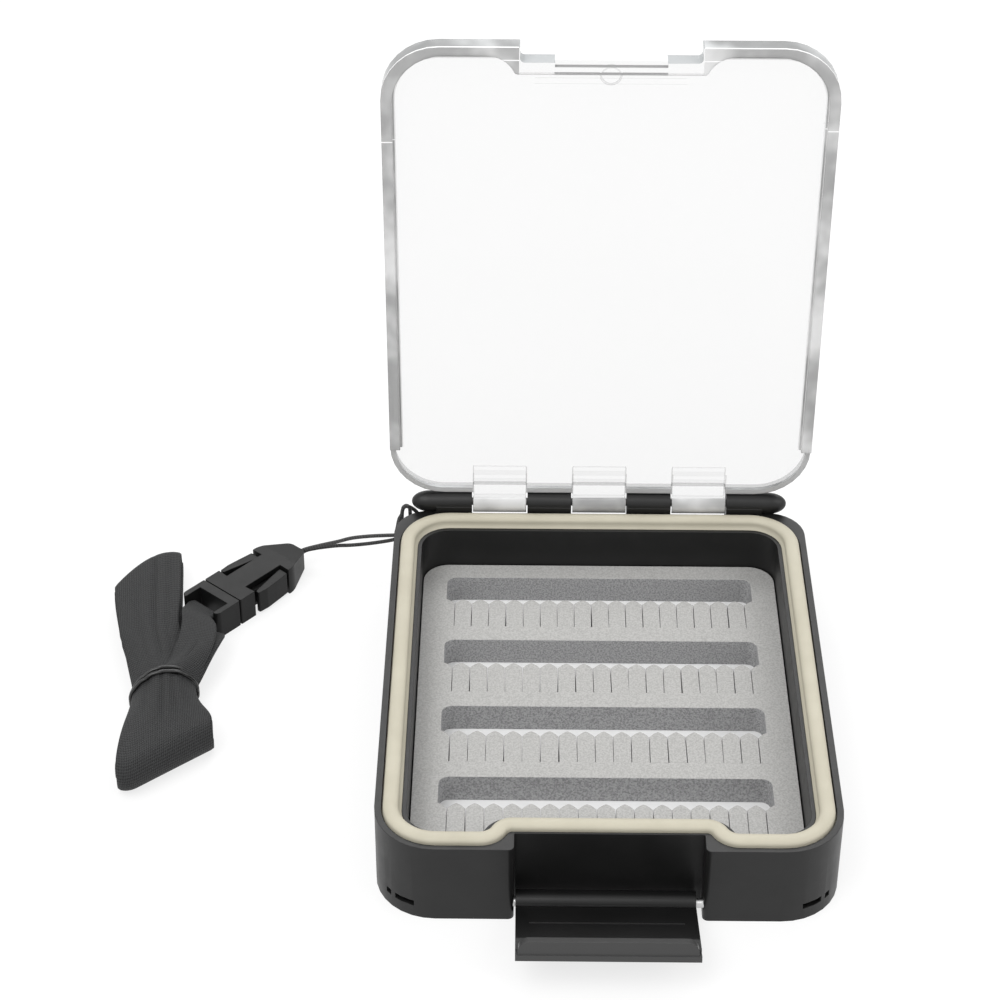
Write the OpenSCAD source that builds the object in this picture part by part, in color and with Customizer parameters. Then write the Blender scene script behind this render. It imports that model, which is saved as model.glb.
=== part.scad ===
// Small waterproof fly box: a shallow black case with a cream gasket and slit foam,
// a clear hinged lid, a pull-down latch, and a folded neck strap on a side-release buckle.
// X runs to the right, Y to the hinge side, Z up. The origin is the centre of the underside.

/* [Case] */
// Outer width of the case, side to side
body_w = 95; // [85:0.5:105]
// Outer depth of the case, front face to rear face
body_d = 115; // [105:0.5:130]
// Height of the case's rim above the table
body_h = 19; // [17:0.5:24]
// Corner radius at the front
corner_front = 12.5; // [9:0.5:15]
// Corner radius at the hinge side
corner_rear = 8.5; // [7:0.5:10]
// Thickness of the outer skirt
skirt_t = 1.6; // [1.2:0.1:2]
// Thickness of the inner tray's wall, and of the lip inside the gasket
tray_t = 1.5; // [1.2:0.1:1.8]
// Thickness of the tray's floor
floor_t = 1.1; // [0.9:0.1:2]
// Thickness of the web under the gasket groove
web_t = 1.2; // [0.8:0.1:2]

/* [Latch recess] */
// Width of the recess in the front of case and lid
notch_w = 38.2; // [34:0.2:44]
// Depth of the recess in the case
notch_d = 4.9; // [4.5:0.1:5.5]
// Depth of the recess in the lid
lid_notch_d = 3.4; // [3.3:0.1:4.4]

/* [Gasket] */
// Width of the gasket's crown
gasket_w = 3.3; // [2.8:0.1:3.8]
// Shoulder of the gasket inside its crown
shoulder_in = 0.6; // [0.3:0.1:0.8]
// Shoulder of the gasket outside its crown
shoulder_out = 0.3; // [0.1:0.05:0.35]
// Depth of the groove
gasket_deep = 2.6; // [2:0.1:3.5]
// Height of the gasket above the rim
gasket_stand = 1.2; // [0.6:0.1:1.4]
// Land between the skirt's face and the groove at the sides and rear
lip_side = 1.7; // [1.3:0.1:2.2]
// Land between the skirt's face and the groove at the front
lip_front = 1.5; // [1.2:0.1:2]
// Land between the latch recess and the groove
lip_notch = 0.8; // [0.7:0.1:1.2]
// Outer corner radius of the gasket
gasket_corner = 11; // [8:0.5:13]

/* [Foam] */
// Thickness of the slit foam
foam_t = 6.6; // [4:0.1:8]
// Thickness of the white backing sheet
backing_t = 0.5; // [0.3:0.1:1.5]
// Number of fly slots
slot_rows = 4; // [2:1:4]
// Slot size from its rear wall to the foot of its scallops
slot_deep = 9.8; // [7.5:0.1:10.5]
// Number of slits along a slot
slit_count = 18; // [10:1:19]
// Distance from one slit to the next
slit_pitch = 3.91; // [3.4:0.01:4.1]
// Height of a scallop
tab_bulge = 1.65; // [0.8:0.05:1.8]
// Length of a slit
slit_long = 8.4; // [6:0.1:9]
// Width of a slit
slit_gap = 0.3; // [0.2:0.05:0.5]
// Distance from the cavity's rear wall to the first slot
slot_margin = 5.2; // [4:0.1:7]

/* [Lid] */
// Overhang of the lid past the case at each side
lid_over_side = 1; // [0.4:0.1:1.5]
// Overhang of the lid past the case's front
lid_over_front = 0.8; // [0.4:0.1:1.2]
// Thickness of the clear plate
plate_t = 2.7; // [2.2:0.1:3.2]
// Height of the border under the plate
border_h = 1.3; // [1.2:0.1:1.8]
// Angle that the lid stands open at rest
lid_open = 90; // [86:1:100]
// Corner radius of the lid
lid_corner = 12.4; // [9:0.2:14]

/* [Hinge] */
// Radius of the hinge barrel
barrel_r = 2.5; // [2.3:0.1:2.8]
// Radius of the hinge pin
pin_r = 0.9; // [0.7:0.05:1.1]
// Hinge axis behind the case's rear face
hinge_back = 1.2; // [1:0.1:1.6]
// Hinge axis above the rim
hinge_up = 1.9; // [1.8:0.1:2.4]
// Length of a clear lid knuckle
knuckle_w = 12.4; // [10:0.1:13.5]
// Distance between lid knuckles, centre to centre
knuckle_pitch = 23.2; // [21:0.1:25]
// Half length of the whole barrel
barrel_half = 43.8; // [41:0.1:44.5]

/* [Latch] */
// Clearance at the two sides of the latch plate, added up
latch_side = 1.8; // [1.4:0.1:3]
// Radius of the latch pin
latch_pin_r = 1; // [0.8:0.05:1.1]
// Radius of the latch's barrel
latch_barrel_r = 2.5; // [2.2:0.1:2.7]
// Latch axis behind the front face
latch_in = 1.6; // [1.5:0.1:1.9]
// Latch axis above the table
latch_up = 3.4; // [3:0.1:4.2]
// Angle of the open latch above level
latch_rise = 17; // [10:1:20]
// Reach of the hook over the lid
hook_deep = 2.7; // [2.6:0.1:3.2]
// Thickness of the hook
hook_t = 2; // [1.4:0.1:2.2]

/* [Lanyard] */
// Diameter of the lanyard cord
cord_d = 0.9; // [0.7:0.1:1.1]
// Width of the buckle
buckle_w = 12; // [11:0.5:14]
// Height of the buckle
buckle_h = 7; // [6.8:0.1:8]
// Length of the buckle's socket
socket_l = 24.5; // [23:0.5:27]
// Width of the strap
strap_w = 18; // [15:0.5:20]
// Thickness of the strap
strap_t = 0.6; // [0.4:0.05:0.7]
// Number of runs in the folded strap
strap_runs = 8; // [4:2:8]
// Step from one run of the strap to the next
run_step = 1.05; // [1:0.05:1.3]

/* [Hidden] */

black = [0.16, 0.16, 0.165];
cream = [0.86, 0.84, 0.75];
steel = [0.75, 0.75, 0.76];
charcoal = [0.27, 0.27, 0.28];

gap = 0.3;          // between bodies that move past each other
fit = 0.05;         // between a piece and its seat
press = 0.02;       // round a pin that stays in its knuckles
run_fit = 0.05;     // round a pin that its knuckles turn on
past = 1;           // how far a cut runs past the face that it opens

half_w = body_w / 2;
front_y = -body_d / 2;
rear_y = body_d / 2;
notch_x = notch_w / 2;
mouth_r = 1.2;
notch_y = front_y + notch_d;

// gasket path: its outer edge and the curve that takes it behind the latch recess
seal_x = half_w - lip_side;
seal_rear = rear_y - lip_side;
seal_front = front_y + lip_front;
seal_mid = notch_y + lip_notch;
bend = 64;
shoulder_deep = 1;
bend_in = 1.4;
bend_out = (seal_mid - seal_front) / sin(bend) / tan(bend / 2) - bend_in - 0.05;
bend_top = notch_x + 1.2;
bend_foot = bend_top + (seal_mid - seal_front) / tan(bend);
tray_in = gasket_w + tray_t;
cavity_rear = seal_rear - tray_in;

foam_z = floor_t + backing_t;
slot_x = slit_count * slit_pitch / 2;
slot_first = cavity_rear - slot_margin;
foam_front = seal_mid + tray_in + 0.2;
slot_pitch = (slot_first - foam_front) / slot_rows;
tab_r = 0.43 * slit_pitch;
slot_corner = 2.2;

hinge_y = rear_y + hinge_back;
hinge_z = body_h + hinge_up;
barrel_tip = 4.2;
flange_half = barrel_half - 5.8;

lid_x = half_w + lid_over_side;
lid_front = front_y - lid_over_front;
lid_rear = hinge_y - barrel_r - gap;
lid_z = body_h + gap;
plate_z = lid_z + border_h;
lid_top = plate_z + plate_t;
lid_notch_y = lid_front + lid_notch_d;
border_stop = hinge_y - 15.4;
arm_reach = 8.2;
arm_up = 0.5;
catch_half = 11.8;

latch_left = 0.35;
latch_y = front_y + latch_in;
latch_w = notch_w - latch_side;
latch_shift = latch_left - latch_side / 2;
latch_front = -latch_in + 0.3;
latch_back = 0.5;
hook_at = lid_top + 0.2 - latch_up;
hook_end = hook_at + hook_t;
latch_end = hook_end + 0.3;
latch_turn = 90 - latch_rise;
pin_seat = 3;

// lanyard slots: two mouths with a post between them on the corner's curve
slot_low = 2.8;
slot_high = 4.2;
cord_low = 11.6;
cord_high = 15;

buckle_x = -87.4;
buckle_y = 42;
buckle_turn = 49;
plug_l = 7.4;
bar_t = 2;
bar_x = -plug_l + bar_t / 2;
bar_half = 4.6;
mid_z = buckle_h / 2;
wall_t = 1.4;
arm_y = 3.6;
arm_long = 14.2;
// the top and bottom plates of the socket beside its windows, and the arms' pads
plate_half = 3.1;
pad_y = buckle_w / 2 + 0.6;
pad_clear = 0.7;
window_from = 4.9;
window_to = 15.3;

// folded strap: where its waist lies, how its runs lean and how far they reach
waist_x = -97.3;
waist_y = 9;
waist_half = 7;
back_reach = 39;
front_reach = -25;
tie_w = 2.2;
tie_t = 0.5;
low_run = tie_t + 0.15 + strap_t / 2;

function unit(v) = v / norm(v);
function arc(centre, r, from, to, n = 8) =
    [for (i = [0:n]) let (a = from + (to - from) * i / n) centre + r * [cos(a), sin(a)]];
function fillet(a, b, c, r) = let (
        u = unit(a - b), w = unit(c - b), half = acos(u * w) / 2,
        s = b + u * r / tan(half), centre = b + unit(u + w) * r / sin(half),
        from = atan2(s[1] - centre[1], s[0] - centre[0]),
        turn = (cross(b - a, c - b) > 0 ? 1 : -1) * (180 - 2 * half))
    arc(centre, r, from, from + turn);
function rounded(pts, radii) = let (n = len(pts))
    [for (i = [0:n - 1]) each fillet(pts[(i + n - 1) % n], pts[i], pts[(i + 1) % n], radii[i])];
function plan(x, front, rear, r_front, r_rear) =
    rounded([[x, rear], [-x, rear], [-x, front], [x, front]], [r_rear, r_rear, r_front, r_front]);
// the gasket's outer edge, drawn in by e all round
function seal(e) = let (x = seal_x - e, f = seal_front + e, m = seal_mid + e, r = gasket_corner - e,
        foot = bend_foot + e * tan(bend / 2), top = bend_top + e * tan(bend / 2))
    rounded([[x, seal_rear - e], [-x, seal_rear - e], [-x, f], [-foot, f], [-top, m], [top, m],
        [foot, f], [x, f]], [r, r, r, bend_out - e, bend_in + e, bend_in + e, bend_out - e, r]);

module ring_of(outer, inner) {
    difference() {
        polygon(outer);
        polygon(inner);
    }
}

// a box between two corners
module block(low, high) {
    translate(low) cube(high - low);
}

// a shaft along X
module rod_x(from, to, y, z, r, fn = 48) {
    translate([from, y, z]) rotate([0, 90, 0]) cylinder(h = to - from, r = r, $fn = fn);
}

module case_plan(inset = 0) {
    x = half_w - inset;
    nx = notch_x + inset;
    front = front_y + inset;
    floor_y = notch_y + inset;
    rear_r = corner_rear - inset;
    front_r = corner_front - inset;
    mouth = max(mouth_r - inset, 0.05);
    polygon(rounded([[x, rear_y - inset], [-x, rear_y - inset], [-x, front], [-nx, front], [-nx, floor_y],
        [nx, floor_y], [nx, front], [x, front]],
        [rear_r, rear_r, front_r, mouth, 0.3 + inset, 0.3 + inset, mouth, front_r]));
}

// lanyard mouths through the skirt at a corner, each between two angles about that corner's centre
module corner_slot(centre, r, mouths, low, high) {
    for (m = mouths) translate([centre[0], centre[1], low]) linear_extrude(high - low)
        polygon(concat(arc([0, 0], r - skirt_t - 0.4, m[1], m[0]), arc([0, 0], r + past, m[0], m[1])));
}

// one end of the hinge barrel, rounded over a longer reach than its radius
module barrel_end() {
    rotate_extrude($fn = 48) polygon([[0, 0], each [for (a = [0:10:90])
        [max(barrel_r * cos(a), 0), barrel_tip * sin(a)]]]);
}

module body_knuckles() {
    inner_end = knuckle_pitch - knuckle_w / 2 - gap;
    for (side = [-1, 1]) {
        rod_x(side > 0 ? knuckle_w / 2 + gap : -inner_end, side > 0 ? inner_end : -knuckle_w / 2 - gap,
            hinge_y, hinge_z, barrel_r);
        outer_start = knuckle_pitch + knuckle_w / 2 + gap;
        outer_stop = barrel_half - barrel_tip;
        rod_x(side > 0 ? outer_start : -outer_stop, side > 0 ? outer_stop : -outer_start,
            hinge_y, hinge_z, barrel_r);
        translate([side * outer_stop, hinge_y, hinge_z]) rotate([0, side * 90, 0]) barrel_end();
        block([side > 0 ? knuckle_w / 2 + gap : -inner_end, seal_rear + shoulder_out, body_h - 6],
            [side > 0 ? inner_end : -knuckle_w / 2 - gap, hinge_y + barrel_r - 0.4, hinge_z]);
        block([side > 0 ? outer_start : -flange_half, seal_rear + shoulder_out, body_h - 6],
            [side > 0 ? flange_half : -outer_start, hinge_y + barrel_r - 0.4, hinge_z]);
    }
}

module base_case() color(black) difference() {
    union() {
        difference() {
            linear_extrude(body_h) case_plan();
            // cavity, groove and the hollow between skirt and tray
            translate([0, 0, floor_t]) linear_extrude(body_h) polygon(seal(tray_in));
            translate([0, 0, body_h - gasket_deep]) linear_extrude(body_h)
                ring_of(seal(-shoulder_out), seal(gasket_w + shoulder_in));
            translate([0, 0, body_h - shoulder_deep]) linear_extrude(body_h) polygon(seal(gasket_w));
            translate([0, 0, -past]) linear_extrude(body_h - gasket_deep - web_t + past) difference() {
                case_plan(skirt_t);
                polygon(seal(gasket_w));
            }
            corner_slot([corner_front - half_w, front_y + corner_front], corner_front,
                [[-143, -136], [-131, -110]], slot_low, slot_high);
            corner_slot([half_w - corner_front, front_y + corner_front], corner_front,
                [[-44, -37], [-70, -49]], slot_low, slot_high);
            corner_slot([corner_rear - half_w, rear_y - corner_rear], corner_rear,
                [[100, 126], [144, 170]], cord_low, cord_high);
        }
        body_knuckles();
        // bosses that the latch pin sits in
        for (x = [-notch_x - pin_seat, notch_x + 0.4])
            block([x, front_y + 0.4, latch_up - 2], [x + pin_seat - 0.4, latch_y + 2, latch_up + 2]);
    }
    rod_x(-barrel_half + barrel_r - press, barrel_half - barrel_r + press, hinge_y, hinge_z, pin_r + press);
    rod_x(-notch_x - pin_seat + 0.6, notch_x + pin_seat - 0.6, latch_y, latch_up, latch_pin_r + press);
    for (k = [-1:1]) rod_x(k * knuckle_pitch - knuckle_w / 2 - gap, k * knuckle_pitch + knuckle_w / 2 + gap,
        hinge_y, hinge_z, barrel_r + gap);
}

// a foot that fills the groove, and a crown whose top edges are chamfered
module gasket_seal() color(cream) {
    low = body_h - gasket_deep;
    step = gasket_stand / 3;
    translate([0, 0, low]) linear_extrude(gasket_deep - shoulder_deep)
        ring_of(seal(fit - shoulder_out), seal(gasket_w + shoulder_in - fit));
    translate([0, 0, low]) linear_extrude(gasket_deep + gasket_stand - step)
        ring_of(seal(0), seal(gasket_w));
    translate([0, 0, low]) linear_extrude(gasket_deep + gasket_stand)
        ring_of(seal(step), seal(gasket_w - step));
}

module foam_backing() color("white") translate([0, 0, floor_t])
    linear_extrude(backing_t) polygon(seal(tray_in + 0.2));

// the rounded tip of one tab, its foot at Y 0
module scallop() {
    half = slit_pitch / 2;
    polygon(concat([[half, -0.5], [half, 0]], arc([0, tab_bulge - tab_r], tab_r, 42, 138),
        [[-half, 0], [-half, -0.5]]));
}

module foam_insert() color([0.72, 0.72, 0.7]) translate([0, 0, foam_z]) linear_extrude(foam_t)
    difference() {
        union() {
            difference() {
                polygon(seal(tray_in + 0.2));
                for (k = [0:slot_rows - 1]) translate([0, slot_first - k * slot_pitch])
                    polygon(plan(slot_x, -slot_deep, 0, 0.4, slot_corner));
            }
            for (k = [0:slot_rows - 1], i = [0:slit_count])
                translate([i * slit_pitch - slot_x, slot_first - k * slot_pitch - slot_deep]) scallop();
        }
        for (k = [0:slot_rows - 1], i = [0:slit_count - 1])
            translate([(i + 0.5) * slit_pitch - slot_x - slit_gap / 2,
                slot_first - k * slot_pitch - slot_deep - slit_long])
                square([slit_gap, slit_long + tab_bulge]);
    }

module hinge_pin() color(steel)
    rod_x(-barrel_half + barrel_r, barrel_half - barrel_r, hinge_y, hinge_z, pin_r);

module lid_plan() {
    difference() {
        polygon(plan(lid_x, lid_front, lid_rear, lid_corner, lid_corner));
        polygon(rounded([[-notch_x, lid_front - past], [notch_x, lid_front - past],
            [notch_x, lid_notch_y], [-notch_x, lid_notch_y]], [0.01, 0.01, 1, 1]));
    }
}

module lid_closed() {
    difference() {
        union() {
            translate([0, 0, plate_z]) linear_extrude(plate_t) lid_plan();
            translate([0, 0, lid_z]) linear_extrude(border_h) intersection() {
                difference() {
                    lid_plan();
                    polygon(seal(-0.35));
                }
                translate([-body_w, border_stop - 2 * body_d]) square([2 * body_w, 2 * body_d]);
            }
            for (k = [-1:1]) {
                rod_x(k * knuckle_pitch - knuckle_w / 2, k * knuckle_pitch + knuckle_w / 2,
                    hinge_y, hinge_z, barrel_r);
                block([k * knuckle_pitch - knuckle_w / 2, hinge_y - arm_reach, plate_z],
                    [k * knuckle_pitch + knuckle_w / 2, hinge_y, lid_top + arm_up]);
            }
            // moulded ring by the recess
            translate([0, lid_notch_y + 3.2, plate_z - 0.15]) linear_extrude(0.3) difference() {
                circle(r = 2.4, $fn = 40);
                circle(r = 2, $fn = 40);
            }
        }
        rod_x(-knuckle_pitch - knuckle_w / 2 - past, knuckle_pitch + knuckle_w / 2 + past,
            hinge_y, hinge_z, pin_r + run_fit);
        // rebate in the border where the hook's catch is
        block([-catch_half, lid_notch_y - past, lid_z - past], [catch_half, lid_notch_y + 1, plate_z]);
    }
}

module lid() color([0.85, 0.87, 0.88]) translate([0, hinge_y, hinge_z]) rotate([-lid_open, 0, 0])
    translate([0, -hinge_y, -hinge_z]) lid_closed();

module latch_pin() color(steel)
    rod_x(-notch_x - pin_seat + 0.7, notch_x + pin_seat - 0.7, latch_y, latch_up, latch_pin_r);

// the latch closed: upright, with its hook over the lid
module latch_closed() {
    left = latch_shift - latch_w / 2;
    right = latch_shift + latch_w / 2;
    difference() {
        union() {
            rod_x(left, right, 0, 0, latch_barrel_r);
            block([left, latch_front, 0], [right, latch_back, hook_at + 0.5]);
            block([left, latch_front, hook_at], [right, latch_front + 1.2, latch_end]);
            translate([0, 0, hook_at]) linear_extrude(hook_t) polygon(rounded([[left + 0.5, latch_front],
                [right - 0.5, latch_front], [right - 0.5, hook_deep], [left + 0.5, hook_deep]],
                [0.4, 0.4, 2.2, 2.2]));
            block([left + 2.7, latch_back - 0.2, 9.85], [right - 2.7, latch_back + 0.2, 10.15]);
        }
        rod_x(left - past, right + past, 0, 0, latch_pin_r + run_fit);
        block([left - past, latch_back - 0.5, 2.75], [right + past, latch_back + past, 3.25]);
    }
}

module latch() color([0.13, 0.13, 0.135]) translate([0, latch_y, latch_up]) rotate([latch_turn, 0, 0])
    latch_closed();

// a smooth curve through chosen points
function curve_at(p, i, t) = let (n = len(p) - 1, a = p[max(i - 1, 0)], b = p[i], c = p[i + 1],
        d = p[min(i + 2, n)])
    0.5 * ((2 * b) + (c - a) * t + (2 * a - 5 * b + 4 * c - d) * t * t + (3 * b - a - 3 * c + d) * t * t * t);
function smooth(p, steps) = concat([for (i = [0:len(p) - 2], k = [0:steps - 1]) curve_at(p, i, k / steps)],
    [p[len(p) - 1]]);

// a tube of n sides along points
function side_of(t) = unit(cross(t, abs(t[2]) > 0.95 ? [0, 1, 0] : [0, 0, 1]));
module tube(p, r, n) {
    m = len(p);
    rings = [for (i = [0:m - 1]) let (t = unit(p[min(i + 1, m - 1)] - p[max(i - 1, 0)]), u = side_of(t),
        w = cross(u, t)) for (k = [0:n - 1]) p[i] + r * (u * cos(360 * k / n) + w * sin(360 * k / n))];
    polyhedron(rings, concat([[for (k = [0:n - 1]) k]], [for (i = [0:m - 2], k = [0:n - 1])
        each [[i * n + k, (i + 1) * n + k, (i + 1) * n + (k + 1) % n],
            [i * n + k, (i + 1) * n + (k + 1) % n, i * n + (k + 1) % n]]],
        [[for (k = [n - 1:-1:0]) (m - 1) * n + k]]));
}

// cord: from the buckle's tip to the corner, round its post, through its own bight and back
cord_points = [[-72.9, 58.7, 4.3], [-71.3, 60.4, 4.3], [-69.71, 61, 4.75], [-67.31, 61.2, 5.42],
    [-64.5, 61.3, 6.16], [-61.69, 61.3, 6.93], [-58.47, 61.2, 8.02], [-54.47, 61, 8.75],
    [-50.48, 60.8, 9.18], [-48.29, 60.6, 9.44], [-47.4, 60.1, 10.2], [-45.2, 58.9, 12.6],
    [-43.4, 57.6, 13.8], [-42.2, 55.9, 14.1], [-42.3, 54.3, 14.1], [-43.4, 53.1, 14.1],
    [-44.8, 52.3, 14.1], [-46.3, 52.4, 14.1], [-47, 53.7, 14.2], [-47.2, 55.6, 14.9],
    [-46.86, 57.5, 16.26], [-46.23, 57.9, 17.43], [-45.98, 58.1, 18.64], [-45.73, 58.2, 19.39],
    [-45.1, 58.3, 19.75], [-44.49, 58.4, 19.3], [-44.28, 58.5, 18.41], [-44.24, 58.7, 16.77],
    [-43.97, 59.1, 14.83], [-43.23, 59.6, 13.7], [-42.38, 60.1, 13.83], [-42.17, 60.4, 15.07],
    [-42.85, 60.4, 16.47], [-43.78, 60.3, 17.51], [-44.62, 60.1, 18.13], [-45.43, 59.9, 18.36],
    [-45.95, 59.8, 17.8], [-46.16, 59.7, 17], [-46.25, 59.5, 15.69], [-46.45, 58.8, 14.44],
    [-46.8, 57.3, 13.2], [-47.2, 55.5, 12.8], [-47, 53.7, 12.6], [-46.3, 52.3, 12.5], [-44.8, 52.1, 12.5],
    [-43.4, 53.1, 12.5], [-42.3, 54.3, 12.5], [-42.4, 56, 12.4], [-44, 58.1, 11.6], [-46.6, 60.2, 9.2],
    [-48.37, 61.4, 7.57], [-50.59, 61.8, 6.71], [-54.62, 62.2, 5.69], [-58.63, 62.4, 5.05],
    [-61.82, 62.3, 4.95], [-64.61, 62.2, 4.65], [-67.42, 62.1, 4.2], [-69.81, 61.8, 3.65],
    [-71.1, 60.6, 3.1], [-72.7, 58.5, 2.9]];

module lanyard_cord() color([0.12, 0.12, 0.12]) tube(smooth(cord_points, 2), cord_d / 2, 8);

// everything on the buckle is drawn along X, with the socket's mouth at 0
module at_buckle() {
    translate([buckle_x, buckle_y, 0]) rotate([0, 0, buckle_turn]) children();
}

module socket_plan() {
    half = buckle_w / 2;
    polygon(rounded([[0, -half], [socket_l - 7.5, -half], [socket_l, -2.4], [socket_l, 2.4],
        [socket_l - 7.5, half], [0, half]], [0.3, 5, 1.8, 1.8, 5, 0.3]));
}

module buckle_socket() color(charcoal) at_buckle() difference() {
    intersection() {
        linear_extrude(buckle_h) socket_plan();
        // side view, thinner towards the tip
        translate([0, buckle_w, 0]) rotate([90, 0, 0]) linear_extrude(2 * buckle_w)
            polygon([[0, 0], [socket_l - 8, 0], [socket_l, 1.2], [socket_l, 5.8], [socket_l - 6, buckle_h],
                [0, buckle_h]]);
    }
    block([-past, -bar_half - 0.2, wall_t], [socket_l - 8, bar_half + 0.2, buckle_h - wall_t]);
    // side windows, open above and below too
    for (side = [-1, 1]) translate([0, 0, -past]) linear_extrude(buckle_h + 2 * past)
        polygon([[window_from - 0.6, side * plate_half], [window_to + gap, side * plate_half],
            [window_to, side * buckle_w], [window_from, side * buckle_w]]);
    block([socket_l - 3.6, -1.5, mid_z - 1.4], [socket_l + past, 1.5, mid_z + 1.7]);
}

module buckle_plug() color(charcoal) at_buckle() {
    difference() {
        translate([-plug_l, 0, 0]) linear_extrude(buckle_h) polygon(rounded([[0, -buckle_w / 2],
            [plug_l - gap, -buckle_w / 2], [plug_l - gap, buckle_w / 2], [0, buckle_w / 2]],
            [1.2, 0.3, 0.3, 1.2]));
        block([-plug_l - past, -bar_half, -past], [-plug_l + bar_t + 2.6, bar_half, buckle_h + past]);
    }
    translate([bar_x, -bar_half - 0.5, mid_z]) rotate([-90, 0, 0])
        cylinder(h = 2 * bar_half + 1, r = bar_t / 2, $fn = 32);
    block([-gap - 0.1, -1.2, mid_z - 1.4], [socket_l - 9.5, 1.2, mid_z + 1.4]);
}

// a sprung arm, drawn on the left side and mirrored for the right: its blade and its taller pad
module release_arm(side) {
    at_buckle() mirror([0, side > 0 ? 0 : 1, 0]) {
        block([-gap, arm_y - 0.6, wall_t + gap], [arm_long, arm_y + 0.6, buckle_h - wall_t - gap]);
        translate([0, 0, pad_clear]) linear_extrude(buckle_h - 2 * pad_clear)
            polygon(rounded([[window_from + 0.5, pad_y - 1.1], [arm_long, plate_half + gap + 0.2],
                [window_to - gap, plate_half + gap + 0.2], [window_to - gap, buckle_w / 2],
                [arm_long - 3, pad_y - 0.2], [window_from + 3, pad_y + 0.1],
                [window_from + 0.5, pad_y - 0.1]],
                [0.3, 0.1, 0.2, 0.3, 4, 3, 0.3]));
    }
}

module release_arm_left() color(charcoal) release_arm(1);
module release_arm_right() color(charcoal) release_arm(-1);

// the folded strap: u runs along its runs and v across them
function ease(t) = let (c = max(0, min(1, t))) c * c * (3 - 2 * c);
function hank_mid(u) = waist_x - (u > 0 ? 0.27 : 0.11) * u + 0.13 * max(0, u - 20);
function hank_half(u) = u < 0 ? waist_half + (strap_w / 2 + 0.6 - waist_half) * ease(-u / 24)
    : waist_half - 0.5 * ease(u / 20) + 0.5 * ease((u - 20) / 22);
function hank_point(u, v, z) = [hank_mid(u) + v,
    waist_y + u + v * (0.95 * ease((u - 6) / 34) + 0.2 * ease(-u / 20)), z];
function strap_ring(mid, half, up) =
    [for (c = [[-1, -1], [1, -1], [1, 1], [-1, 1]]) hank_point(mid[0] + up[0] * c[1] * strap_t / 2,
        c[0] * half, mid[1] + up[1] * c[1] * strap_t / 2)];

// a doubled strap rolled flat: both ends leave at the waist, the far loop lies inside
function run_z(level) = low_run + level * run_step;
function run_level(i) = i % 2 == 0 ? strap_runs - 1 - i : i - 1;
function run_line(i) = let (from = i == 0 ? 0 : i % 2 == 0 ? back_reach : front_reach,
        to = i == strap_runs - 1 ? 0 : i % 2 == 0 ? front_reach : back_reach)
    [for (k = [0:5]) [from + (to - from) * k / 5, run_z(run_level(i))]];
function wrap_line(i) = let (z0 = run_z(run_level(i)), z1 = run_z(run_level(i + 1)), r = (z0 - z1) / 2,
        u = i % 2 == 0 ? front_reach : back_reach, out = i % 2 == 0 ? -abs(r) : abs(r))
    [for (a = [72:-24:-72]) [u + out * cos(a), (z0 + z1) / 2 + r * sin(a)]];
hank_line = concat([for (i = [0:strap_runs - 2]) each concat(run_line(i), wrap_line(i))],
    run_line(strap_runs - 1));

module strap(rings) {
    m = len(rings);
    polyhedron([for (r = rings) each r], concat([[0, 1, 2, 3]], [for (i = [0:m - 2], k = [0:3])
        each [[i * 4 + k, (i + 1) * 4 + k, (i + 1) * 4 + (k + 1) % 4],
            [i * 4 + k, (i + 1) * 4 + (k + 1) % 4, i * 4 + (k + 1) % 4]]],
        [[m * 4 - 1, m * 4 - 2, m * 4 - 3, m * 4 - 4]]));
}

module webbing_hank() color([0.29, 0.29, 0.3]) {
    m = len(hank_line);
    rings = [for (i = [0:m - 1]) let (a = hank_line[max(i - 1, 0)], b = hank_line[min(i + 1, m - 1)],
        t = unit([b[0] - a[0], b[1] - a[1]]))
        strap_ring(hank_line[i], hank_half(hank_line[i][0]), [-t[1], t[0]])];
    echo(least_gap_between_runs = run_step - strap_t);
    strap(rings);
}

// from the hank's top run round the plug's bar and back under it: x, y, z, half width, heading
buckle_dir = [cos(buckle_turn), sin(buckle_turn)];
bar_at = [buckle_x, buckle_y] + bar_x * buckle_dir;
bar_turn = bar_t / 2 + strap_t / 2 + 0.25;
bar_strap = bar_half - 0.4;
top_z = run_z(strap_runs - 1);
second_z = run_z(strap_runs - 2);
function lead_point(along, left, z, half, heading) = let (mid = [waist_x, waist_y] * (1 - along)
        + (bar_at - 0.6 * buckle_dir) * along) [mid[0] + left, mid[1], z, half, heading];
lead_top = [lead_point(0, 0, top_z, waist_half, 90), lead_point(0.2, 0.7, top_z, 6.1, 84),
    lead_point(0.45, 2, top_z, 4.9, 80), lead_point(0.68, 1.8, top_z - 0.3, 4.5, 74),
    lead_point(0.84, 0.6, top_z - 1.1, bar_strap, 63),
    lead_point(0.93, 0, top_z - 2.2, bar_strap - 0.2, 52),
    lead_point(1, 0, mid_z + bar_turn + 0.2, bar_strap, buckle_turn)];
lead_low = [lead_point(1, 0, mid_z - bar_turn, bar_strap, buckle_turn),
    lead_point(0.9, 0.4, mid_z - bar_turn + 0.4, bar_strap - 0.3, 54),
    lead_point(0.68, 4, second_z - 1.8, bar_strap - 0.1, 80),
    lead_point(0.5, 4.6, second_z, bar_strap + 0.2, 88),
    lead_point(0.24, 1.8, second_z, 5.8, 89), lead_point(0, 0, second_z, waist_half, 90)];
lead_line = concat(smooth(lead_top, 3),
    [for (a = [75:-30:-75]) concat(bar_at + buckle_dir * bar_turn * cos(a),
        [mid_z + bar_turn * sin(a), bar_strap, buckle_turn])], smooth(lead_low, 3));

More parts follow.
